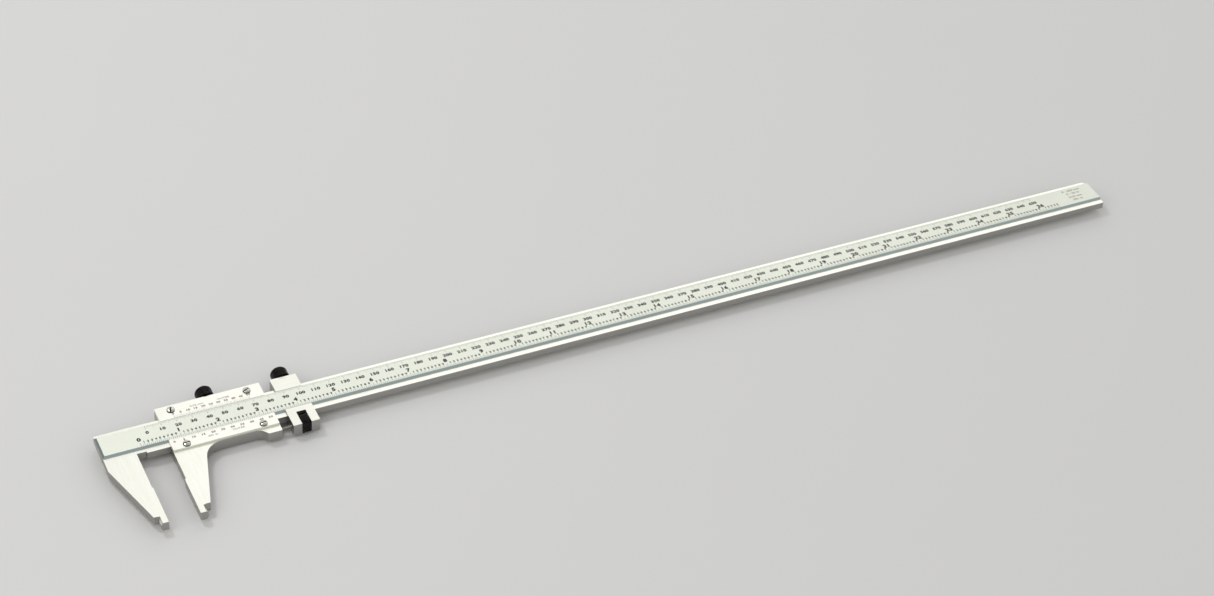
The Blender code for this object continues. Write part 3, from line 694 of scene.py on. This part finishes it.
def knurl(piece, radius, low, high, count):
    """Diamond knurling between two heights: a lattice whose every second point is pressed in."""
    step_angle = math.pi / count
    rows = max(2, round((high - low) / (radius * step_angle)))
    take(piece)
    bpy.ops.object.mode_set(mode="EDIT")

    def is_side_edge(edge):
        ends = [piece.data.vertices[index].co for index in edge.vertices]
        on_rim = all(abs(end.xy.length - radius) < HAIR for end in ends)
        spans = abs(abs(ends[0].z - ends[1].z) - (high - low)) < HAIR
        return on_rim and spans

    pick(piece, "EDGE", is_side_edge)
    bpy.ops.mesh.subdivide(number_cuts=rows - 1)

    def is_pressed(vertex):
        point = vertex.co
        row = (point.z - low) / (high - low) * rows
        if abs(point.xy.length - radius) > HAIR or not 0.5 < row < rows - 0.5:
            return False
        column = math.atan2(point.y, point.x) / step_angle
        return (round(column) + round(row)) % 2 == 0

    pick(piece, "VERT", is_pressed)
    ratio = 1 - sizes().knurl_depth / radius
    bpy.ops.transform.resize(value=(ratio, ratio, 1), center_override=(0, 0, 0))

    def is_lattice(face):
        return abs(face.normal.z) < 0.7 and low - HAIR < face.center.z < high + HAIR

    pick(piece, "FACE", is_lattice)
    bpy.ops.mesh.quads_convert_to_tris(quad_method="SHORTEST_DIAGONAL")
    bpy.ops.object.mode_set(mode="OBJECT")


class CALIPER_OT_plate_screws(bpy.types.Operator):
    """Make the eight slotted, domed screws of the vernier plates"""

    bl_idname = "caliper.plate_screws"
    bl_label = "Plate screws"

    rise = 1.1 * MM
    rim = 0.42 * MM
    foot = 0.08 * MM
    shank_radius = 0.9 * MM
    slot_width = 0.85 * MM
    slot_depth = 0.85 * MM
    broken_edge = 0.05 * MM
    slot_turns = {"metric_left": 70, "metric_right": 25, "inch_left": 2, "inch_right": 8}

    def execute(self, context):
        for node in sorted(frame["nodes"]):
            if "plate_screw" in node:
                self.make(node)
        return {"FINISHED"}

    def make(self, node):
        low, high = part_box(node)
        radius = (high.x - low.x) / 2
        shank = high.z - low.z - self.rise
        screw = lathe_start(radius - self.foot, self.foot, 48)
        dome = dome_steps(radius, self.rim, self.rise - self.rim, 9)
        draw_out(screw, True, [(radius, 2 * self.foot), (radius, self.rim), *dome])
        draw_out(screw, False, [(self.shank_radius, 0.0), (self.shank_radius, -shank)])
        self.cut_slot(screw, radius)
        bevel_edges(screw, self.broken_edge, 1, 50)
        smooth(screw, 35)
        screw.data.materials.append(material("bright_steel"))
        half_slot = self.slot_width / 2 + 0.02 * MM
        slot_floor = self.rise - 0.5 * MM

        # Painted shade: the slot's walls and floor and the head's sides below the dome get the dark
        # filling
        def is_grimy(face):
            within = abs(face.center.y) < half_slot
            on_wall = within and abs(face.normal.y) > 0.9
            on_floor = within and face.center.z < slot_floor
            return on_wall or on_floor or face.center.z < self.rim

        assign_faces(screw, "grime", is_grimy)
        middle = (low + high) / 2
        if node.startswith("inside"):
            seat = Matrix.Translation((middle.x, middle.y, low.z + self.rise)) @ FACE_DOWN
        else:
            turn = self.slot_turns[node.replace("plate_screw_", "")]
            seat = Matrix.Translation((middle.x, middle.y, high.z - self.rise))
            seat = seat @ Matrix.Rotation(math.radians(turn), 4, "Z")
        settle(screw, seat)
        enter(screw, f"{node}_head", "slide", "bright_steel", node)

    def cut_slot(self, screw, radius):
        deselect()
        bpy.ops.mesh.primitive_cube_add(size=1, location=(0, 0, self.rise))
        blade = bpy.context.active_object
        blade.scale = (3 * radius, self.slot_width, 2 * self.slot_depth)
        bpy.ops.object.transform_apply(location=True, rotation=True, scale=True)
        modifier = screw.modifiers.new("slot", "BOOLEAN")
        modifier.object = blade
        modifier.solver = "EXACT"
        apply_all(screw)
        bpy.data.objects.remove(blade, do_unlink=True)


class CALIPER_OT_clamping_knobs(bpy.types.Operator):
    """Make the two black knurled clamping screws with domed ends"""

    bl_idname = "caliper.clamping_knobs"
    bl_label = "Clamping knobs"

    neck = 1.0 * MM
    chamfer = 0.5 * MM
    dome = 2.6 * MM
    collar_radius = 3.6 * MM
    collar_gap = 0.1 * MM
    shank_radius = 2.0 * MM
    point_radius = 1.1 * MM
    point_length = 1.2 * MM
    point_taper = 0.3 * MM

    def execute(self, context):
        self.make("slider_lock_screw", "slide_lock_knob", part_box("slider")[1].y)
        self.make("carriage_clamp_screw", "carriage_clamp_knob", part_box("carriage")[1].y)
        return {"FINISHED"}

    def make(self, node, name, wall):
        low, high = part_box(node)
        radius = (high.x - low.x) / 2
        knurl_low = self.neck + self.chamfer
        knurl_high = high.y - wall - self.dome
        knob = lathe_start(radius, knurl_high - knurl_low, 2 * sizes().knurl_count)
        settle(knob, Matrix.Translation((0, 0, knurl_low)))
        draw_out(knob, True, dome_steps(radius, knurl_high, self.dome, 10))
        tip = low.y - wall
        steps = [
            (radius - self.chamfer, self.neck),
            (self.collar_radius, self.neck),
            (self.collar_radius, self.collar_gap),
            (self.shank_radius, self.collar_gap),
            (self.shank_radius, tip + self.point_length + self.point_taper),
            (self.point_radius, tip + self.point_length),
            (self.point_radius, tip),
        ]
        draw_out(knob, False, steps)
        knurl(knob, radius, knurl_low, knurl_high, sizes().knurl_count)
        smooth(knob, 22)
        middle = (low + high) / 2
        settle(knob, Matrix.Translation((middle.x, wall, middle.z)) @ ALONG_Y)
        enter(knob, name, body_of(node), "black_oxide", node, finish="black_oxide")


class CALIPER_OT_fine_adjustment(bpy.types.Operator):
    """Make the knurled adjusting nut and its threaded screw"""

    bl_idname = "caliper.fine_adjustment"
    bl_label = "Adjusting nut and screw"

    chamfer = 0.5 * MM
    face_rim = 1.2 * MM
    recess = 0.35 * MM
    recess_edge = 1.5 * MM
    bore = 1.64 * MM
    bore_chamfer = 0.25 * MM
    screw_end = 0.3 * MM
    thread_height = 0.6  # in pitches, like the next
    ridge_size = 0.4
    unthreaded_turns = 2

    def execute(self, context):
        self.make_nut()
        self.make_screw()
        return {"FINISHED"}

    def make_nut(self):
        low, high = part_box("adjusting_nut")
        radius = (high.z - low.z) / 2
        width = high.x - low.x
        nut = lathe_start(radius, width - 2 * self.chamfer, 2 * sizes().knurl_count)
        settle(nut, Matrix.Translation((0, 0, self.chamfer)))
        for up, face, inward in ((True, width, -1), (False, 0.0, 1)):
            recessed = face + inward * self.recess
            steps = [
                (radius - self.chamfer, face),
                (radius - self.face_rim, face),
                (radius - self.recess_edge, recessed),
                (self.bore + self.bore_chamfer, recessed),
                (self.bore, recessed + inward * self.bore_chamfer),
            ]
            draw_out(nut, up, steps)
        bpy.ops.object.mode_set(mode="EDIT")

        def is_bore_cap(face):
            reach = max(nut.data.vertices[index].co.xy.length for index in face.vertices)
            return abs(face.normal.z) > 0.9 and reach < self.bore + HAIR

        pick(nut, "FACE", is_bore_cap)
        bpy.ops.mesh.bridge_edge_loops()
        bpy.ops.object.mode_set(mode="OBJECT")
        knurl(nut, radius, self.chamfer, width - self.chamfer, sizes().knurl_count)
        smooth(nut, 22)
        settle(nut, self.axis_place(low, high))
        enter(
            nut,
            "knurled_adjusting_nut",
            "fine_nut",
            "black_oxide",
            "adjusting_nut",
            finish="black_oxide",
        )

    def make_screw(self):
        low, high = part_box("adjusting_screw")
        radius = (high.z - low.z) / 2
        length = high.x - low.x
        pitch = sizes().thread_pitch
        root = radius - self.thread_height * pitch
        core = lathe_start(root, length - self.screw_end, 24)
        draw_out(core, True, [(root - self.screw_end, length)])
        ridge = self.thread_ridge(root, pitch, int(length / pitch) - self.unthreaded_turns)
        screw = joined([core, ridge])
        smooth(screw, 40)
        settle(screw, self.axis_place(low, high))
        enter(
            screw,
            "threaded_adjusting_screw",
            "slide",
            "thread_steel",
            "adjusting_screw",
            finish="thread_steel",
        )

    def thread_ridge(self, root, pitch, turns):
        """A triangle wound up the core, sunk a little into it, with its ends closed."""
        deselect()
        bpy.ops.mesh.primitive_circle_add(
            vertices=3,
            radius=self.ridge_size * pitch,
            fill_type="NGON",
            location=(root + (self.thread_height - self.ridge_size) * pitch, 0, pitch),
            rotation=(math.radians(90), 0, 0),
        )
        ridge = bpy.context.active_object
        bpy.ops.object.transform_apply(location=True, rotation=True, scale=True)
        spiral = ridge.modifiers.new("thread", "SCREW")
        spiral.screw_offset = pitch
        spiral.iterations = turns
        spiral.steps = 16
        spiral.render_steps = 16
        spiral.use_merge_vertices = False
        apply_all(ridge)
        bpy.ops.object.mode_set(mode="EDIT")
        bpy.ops.mesh.select_mode(type="EDGE")
        bpy.ops.mesh.select_all(action="DESELECT")
        bpy.ops.mesh.select_non_manifold()
        bpy.ops.mesh.fill_holes(sides=4)
        bpy.ops.mesh.select_all(action="SELECT")
        bpy.ops.mesh.normals_make_consistent(inside=False)
        bpy.ops.object.mode_set(mode="OBJECT")
        return ridge

    def axis_place(self, low, high):
        """The place of a piece turned on Z when its axis lies along the bar."""
        middle = (low + high) / 2
        return Matrix.Translation((low.x, middle.y, middle.z)) @ ALONG_X


class CALIPER_OT_inner_pieces(bpy.types.Operator):
    """Finish the gibs, their springs and the set screw"""

    bl_idname = "caliper.inner_pieces"
    bl_label = "Gibs, springs and set screw"

    finishes = {
        "slider_gib": "gib_brass",
        "carriage_gib": "gib_brass",
        "slider_gib_spring": "thread_steel",
        "carriage_gib_spring": "thread_steel",
        "adjusting_screw_set_screw": "thread_steel",
    }

    def execute(self, context):
        for node, finish in self.finishes.items():
            mesh = frame["nodes"][node].data
            mesh.materials.clear()
            mesh.materials.append(material(finish))
        return {"FINISHED"}


# Graduations and numbers


class Face:
    """A flat face that carries marks, at a height, with outward +1 in front and -1 behind."""

    def __init__(self, height, outward=1):
        self.height = height
        self.outward = outward

    def level(self):
        return self.height + self.outward * (sizes().ink_rise - MARK_THICKNESS / 2)


MARK_THICKNESS = 0.04 * MM
LETTER_SIZE = 1.37  # the typeface's size when its digits are 1 high
LARGE_LETTER = 2 * MM  # letters higher than this get a finer curve
LIGHT_WEIGHT = 0.02  # stroke weight of the words
FRONT = Face(SCALE_FACE_Z)


def line_row(face, first_x, pitch, count, start_y, reach, width=None):
    """A row of equal lines, from start_y toward start_y + reach."""
    width = width or sizes().line_width
    deselect()
    middle = (first_x, start_y + reach / 2, face.level())
    bpy.ops.mesh.primitive_cube_add(size=1, location=middle)
    line = bpy.context.active_object
    line.scale = (width, abs(reach), MARK_THICKNESS)
    bpy.ops.object.transform_apply(location=True, rotation=True, scale=True)
    row = line.modifiers.new("row", "ARRAY")
    row.count = count
    row.use_relative_offset = False
    row.use_constant_offset = True
    row.constant_offset_displace = (pitch, 0, 0)
    apply_all(line)
    return line


LETTERS = {}


def lettering(words, weight, curve_steps):
    """The mesh of a word with letters one metre high, centred, made once and kept."""
    key = (words, weight, curve_steps)
    if key not in LETTERS:
        deselect()
        bpy.ops.object.text_add(location=(0, 0, 0))
        text = bpy.context.active_object
        text.data.body = words
        text.data.size = LETTER_SIZE
        text.data.resolution_u = curve_steps
        text.data.offset = weight
        text.data.space_character = 1.0 + 1.8 * weight
        text.data.extrude = 0.5
        bpy.ops.object.convert(target="MESH")
        bpy.ops.object.mode_set(mode="EDIT")
        bpy.ops.mesh.select_all(action="SELECT")
        bpy.ops.mesh.remove_doubles(threshold=0.0005)
        bpy.ops.object.mode_set(mode="OBJECT")
        across = [vertex.co.x for vertex in text.data.vertices]
        middle = Vector(((min(across) + max(across)) / 2, 0.5, 0))
        text.data.transform(Matrix.Translation(-middle))
        LETTERS[key] = text.data
        bpy.data.objects.remove(text, do_unlink=True)
    return LETTERS[key]


def label(face, words, x, y, height, weight=None):
    """One number or word, centred on a point of the face."""
    weight = sizes().number_weight if weight is None else weight
    curve_steps = 4 if height > LARGE_LETTER else 3
    piece = bpy.data.objects.new("label", lettering(words, weight, curve_steps).copy())
    bpy.context.scene.collection.objects.link(piece)
    turn = Matrix.Identity(4) if face.outward > 0 else FACE_DOWN
    size = Matrix.Diagonal((height * sizes().number_width, height, MARK_THICKNESS, 1))
    settle(piece, Matrix.Translation((x, y, face.level())) @ turn @ size)
    return piece


def finish_marks(pieces, name, body, finish="marking_black"):
    marks = joined(pieces)
    enter(marks, name, body, "black_oxide", finish=finish)


class CALIPER_OT_bar_scales(bpy.types.Operator):
    """Engrave the millimetre and inch scales along the bar, front and back"""

    bl_idname = "caliper.bar_scales"
    bl_label = "Bar scales"

    # Rows of lines: millimetres apart, long and wide
    metric_rows = ((1, 1.5, 0.12), (5, 2.2, 0.12), (10, 3.2, 0.15))
    # Plain facts about the scales, with their height above the bar's axis in millimetres
    legend = (("0 - 650 mm", 6.4), ("0 - 26 in", 3.2), ("0.02 mm", -0.4), (".001 in", -3.6))

    def execute(self, context):
        zero = FIXED_FACE_X + sizes().zero_offset
        edge_gap = 0.2 * MM
        top = BAR_UPPER_Y - sizes().panel_top - edge_gap
        bottom = BAR_LOWER_Y + sizes().panel_bottom + edge_gap
        self.metric(FRONT, "front", zero, top, BAR_AXIS_Y + 3.2 * MM)
        self.inch_front(FIXED_FACE_X + sizes().inch_zero_offset, bottom)
        back = Face(SCALE_FACE_Z - sizes().bar_thickness, -1)
        inside_zero = zero - sizes().nib_pair
        band = 6.8 * MM  # from the bar's axis to the lines on its back
        self.metric(back, "back", inside_zero, BAR_AXIS_Y + band, BAR_AXIS_Y + 1.5 * MM)
        self.inch_back(back, inside_zero, BAR_AXIS_Y - band)
        self.end_legend()
        return {"FINISHED"}

    def metric(self, face, side, zero, edge, number_y):
        last = 650
        rows = [
            line_row(face, zero, step * MM, last // step + 1, edge, -reach * MM, width * MM)
            for step, reach, width in self.metric_rows
        ]
        finish_marks(rows, f"{side}_millimetre_lines", "bar")
        numbers = [
            label(face, str(value), zero + value * MM, number_y, sizes().metric_number)
            for value in range(0, last + 1, 10)
        ]
        finish_marks(numbers, f"{side}_millimetre_numbers", "bar")

    def inch_front(self, zero, edge):
        inches = 26
        tenths_past = 5  # the scale runs on past its last whole inch
        tenth = INCH / 10
        whole_y = BAR_AXIS_Y - 1.3 * MM
        tenth_y = BAR_AXIS_Y - 4.1 * MM
        tenths = inches * 10 + tenths_past
        rows = [
            line_row(FRONT, zero, tenth / 2, 2 * tenths + 1, edge, 1.3 * MM),
            line_row(FRONT, zero, tenth, tenths + 1, edge, 2.1 * MM),
            line_row(FRONT, zero, INCH, inches + 1, edge, 2.9 * MM),
        ]
        finish_marks(rows, "front_inch_lines", "bar")
        numbers = []
        for inch in range(inches + 1):
            x = zero + inch * INCH
            digits = str(inch)
            for index, digit in enumerate(digits):
                aside = (2 * index + 1 - len(digits)) * sizes().digit_spread
                numbers.append(label(FRONT, digit, x + aside, whole_y, sizes().inch_number))
            last = 9 if inch < inches else tenths_past
            for digit in range(1, last + 1):
                place = x + digit * tenth
                numbers.append(label(FRONT, str(digit), place, tenth_y, sizes().small_number))
        finish_marks(numbers, "front_inch_numbers", "bar")

    def inch_back(self, face, zero, edge):
        inches = 25
        tenth = INCH / 10
        whole_y = edge + 5.0 * MM
        tenth_y = edge + 3.2 * MM
        rows = [
            line_row(face, zero, tenth / 4, inches * 40 + 1, edge, 1.3 * MM, 0.1 * MM),
            line_row(face, zero, tenth, inches * 10 + 1, edge, 2.2 * MM),
            line_row(face, zero, INCH, inches + 1, edge, 3.4 * MM),
        ]
        finish_marks(rows, "back_inch_lines", "bar")
        numbers = []
        for inch in range(inches + 1):
            x = zero + inch * INCH
            numbers.append(label(face, str(inch), x, whole_y, 2.2 * MM))
            last = 9 if inch < inches else 0
            for digit in range(1, last + 1):
                numbers.append(label(face, str(digit), x + digit * tenth, tenth_y, 1.2 * MM))
        finish_marks(numbers, "back_inch_numbers", "bar")

    def end_legend(self):
        middle = BAR_END_X - 16.5 * MM
        words = [
            label(FRONT, text, middle, BAR_AXIS_Y + up * MM, 1.9 * MM, LIGHT_WEIGHT)
            for text, up in self.legend
        ]
        finish_marks(words, "end_legend", "bar", "worn_marking")


class CALIPER_OT_verniers(bpy.types.Operator):
    """Engrave the four verniers, which read outside in front and inside behind"""

    bl_idname = "caliper.verniers"
    bl_label = "Verniers"

    edge_gap = 0.12 * MM
    rear_bevel = 1.35 * MM

    def execute(self, context):
        metric_zero = SLIDING_FACE_X + sizes().zero_offset
        inch_zero = SLIDING_FACE_X + sizes().inch_zero_offset
        metric_pitch = 49 * MM / 50
        front_pitch = 2.45 * INCH / 50
        rear_pitch = 0.6 * INCH / 25
        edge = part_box("metric_vernier_plate")[0].y + self.edge_gap
        words = (("0.02 mm", 16.0), ("OUTER", 33.5))
        self.vernier(FRONT, "front_metric", metric_zero, metric_pitch, 50, edge, 2.9 * MM, words)
        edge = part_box("inch_vernier_plate")[1].y - self.edge_gap
        words = ((".001 in", 23.7), ("OUTER", 40.5))
        self.vernier(FRONT, "front_inch", inch_zero, front_pitch, 50, edge, -1.7 * MM, words)
        rear = Face(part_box("inside_metric_vernier_plate")[0].z, -1)
        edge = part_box("inside_metric_vernier_plate")[0].y + self.rear_bevel
        words = (("0.02 mm", 16.0), ("INNER", 33.5))
        self.vernier(rear, "rear_metric", metric_zero, metric_pitch, 50, edge, 2.4 * MM, words)
        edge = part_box("inside_inch_vernier_plate")[1].y - self.rear_bevel
        words = ((".001 in", 24.0), ("INNER", 36.0))
        self.vernier(rear, "rear_inch", metric_zero, rear_pitch, 25, edge, -2.0 * MM, words)
        return {"FINISHED"}

    def vernier(self, face, name, zero, pitch, count, edge, reach, words):
        """Lines from the edge, numbers past them, then words, each so many millimetres along."""
        step = 5
        fine = sizes().line_width * 0.7
        rows = [
            line_row(face, zero, pitch, count + 1, edge, 0.65 * reach, fine),
            line_row(face, zero, pitch * step, count // step + 1, edge, reach, fine),
        ]
        height = sizes().small_number
        inward = math.copysign(1, reach)
        number_y = edge + reach + inward * (0.35 * MM + height / 2)
        word_y = number_y + inward * 2.6 * MM
        marks = [
            label(face, str(value), zero + value * pitch, number_y, height)
            for value in range(0, count + 1, step)
        ]
        marks += [
            label(face, text, zero + along * MM, word_y, height * 0.95, LIGHT_WEIGHT)
            for text, along in words
        ]
        finish_marks(rows + marks, f"{name}_vernier_marks", "slide", "worn_marking")


# Stage


class CALIPER_OT_stage(bpy.types.Operator):
    """Set the floor, the soft lights and the camera"""

    bl_idname = "caliper.stage"
    bl_label = "Floor, lights and camera"

    floor_size = 12
    # Soft lights: name, place, side and power
    lights = (
        ("back_softbox", (1.0, 1.75, 1.75), 1.9, 4.5),
        ("left_fill", (-1.6, -0.4, 1.3), 1.0, 4),
        ("sparkle", (-0.75, 1.0, 1.9), 0.35, 9),
    )
    # The studio's brightness from just below the horizon up to the zenith
    sky = ((0.50, (0.16, 0.17, 0.18)), (0.68, (1.0, 1.0, 0.985)), (0.97, (0.62, 0.625, 0.63)))

    def execute(self, context):
        self.make_floor()
        self.make_sky(context.scene)
        for light in self.lights:
            self.area_light(*light)
        self.make_camera(context.scene)
        return {"FINISHED"}

    def make_floor(self):
        deselect()
        bpy.ops.mesh.primitive_plane_add(size=self.floor_size, location=(0, 0, 0))
        floor = bpy.context.active_object
        floor.name = "floor"
        finish = Finish("floor_paint", 0.0, 0.75)
        cloud = finish.group("handling", handling_group, Size=3.0, Amount=0.5)
        base = colours().floor
        finish.drive_colour(cloud.outputs["Smudge"], tuple(base), shade(base, 0.985))
        floor.data.materials.append(finish.material)

    def make_sky(self, scene):
        """A plain bright studio, varied a little so that flat steel doesn't look painted."""
        world = bpy.data.worlds.new("studio")
        world.use_nodes = True
        tree = world.node_tree
        background = tree.nodes["Background"]
        background.inputs["Strength"].default_value = 1.0
        ramp = tree.nodes.new("ShaderNodeValToRGB")
        stops = ramp.color_ramp.elements
        (low, dim), (middle, bright), (top, overhead) = self.sky
        stops[0].position, stops[0].color = low, (*dim, 1)
        stops[1].position, stops[1].color = middle, (*bright, 1)
        stops.new(top).color = (*overhead, 1)
        split = tree.nodes.new("ShaderNodeSeparateXYZ")
        direction = tree.nodes.new("ShaderNodeTexCoord").outputs["Generated"]
        tree.links.new(direction, split.inputs[0])
        height = ranged(tree, split.outputs["Z"], {"From Min": -1.0, "From Max": 1.0})
        tree.links.new(height, ramp.inputs[0])
        panels = noise(tree, direction, 1.6, 0.0)
        limits = {"From Min": 0.35, "From Max": 0.65, "To Min": 0.80, "To Max": 1.08}
        soft = ranged(tree, panels, limits)
        varied = tree.nodes.new("ShaderNodeVectorMath")
        varied.operation = "SCALE"
        tree.links.new(ramp.outputs[0], varied.inputs[0])
        tree.links.new(soft, varied.inputs["Scale"])
        tree.links.new(varied.outputs[0], background.inputs["Color"])
        scene.world = world
        scene.view_settings.view_transform = "Standard"

    def area_light(self, name, place, size, power):
        lamp = bpy.data.lights.new(name, "AREA")
        lamp.shape = "SQUARE"
        lamp.size = size
        lamp.energy = power
        stand = bpy.data.objects.new(name, lamp)
        stand.location = place
        stand.rotation_euler = (-Vector(place)).to_track_quat("-Z", "Y").to_euler()
        bpy.context.scene.collection.objects.link(stand)

    def make_camera(self, scene):
        stage = scene.caliper_stage
        lens = bpy.data.cameras.new("view")
        lens.lens = stage.lens
        lens.sensor_width = 36
        lens.clip_start = 0.01
        camera = bpy.data.objects.new("view", lens)
        scene.collection.objects.link(camera)
        turn = (
            Matrix.Rotation(-stage.azimuth, 4, "Z")
            @ Matrix.Rotation(math.pi / 2 - stage.elevation, 4, "X")
            @ Matrix.Rotation(stage.roll, 4, "Z")
        )
        reach = Matrix.Translation((0, 0, stage.distance))
        camera.matrix_world = Matrix.Translation(Vector(stage.target)) @ turn @ reach
        scene.camera = camera


PIECE_OPERATORS = (
    CALIPER_OT_bar,
    CALIPER_OT_slide,
    CALIPER_OT_plates,
    CALIPER_OT_plate_screws,
    CALIPER_OT_clamping_knobs,
    CALIPER_OT_fine_adjustment,
    CALIPER_OT_inner_pieces,
    CALIPER_OT_bar_scales,
    CALIPER_OT_verniers,
    CALIPER_OT_stage,
)


class CALIPER_PT_panel(bpy.types.Panel):
    """The caliper's pieces and settings"""

    bl_label = "Vernier caliper"
    bl_idname = "CALIPER_PT_panel"
    bl_space_type = "VIEW_3D"
    bl_region_type = "UI"
    bl_category = "Caliper"

    def draw(self, context):
        layout = self.layout
        for operator in PIECE_OPERATORS:
            layout.operator(operator.bl_idname)
        for name in SETTINGS:
            group = getattr(context.scene, name)
            box = layout.box()
            for key in group.bl_rna.properties.keys():
                if key not in {"rna_type", "name"}:
                    box.prop(group, key)


SETTINGS = {
    "caliper_sizes": CaliperSizes,
    "caliper_colours": CaliperColours,
    "caliper_stage": CaliperStage,
}


def register():
    for group in SETTINGS.values():
        bpy.utils.register_class(group)
    for operator in PIECE_OPERATORS:
        bpy.utils.register_class(operator)
    bpy.utils.register_class(CALIPER_PT_panel)
    for name, group in SETTINGS.items():
        setattr(bpy.types.Scene, name, PointerProperty(type=group))


def unregister():
    for name in SETTINGS:
        delattr(bpy.types.Scene, name)
    bpy.utils.unregister_class(CALIPER_PT_panel)
    for operator in reversed(PIECE_OPERATORS):
        bpy.utils.unregister_class(operator)
    for group in reversed(list(SETTINGS.values())):
        bpy.utils.unregister_class(group)


def main():
    register()
    for operator in PIECE_OPERATORS:
        family, action = operator.bl_idname.split(".")
        getattr(getattr(bpy.ops, family), action)()


if __name__ == "__main__":
    main()
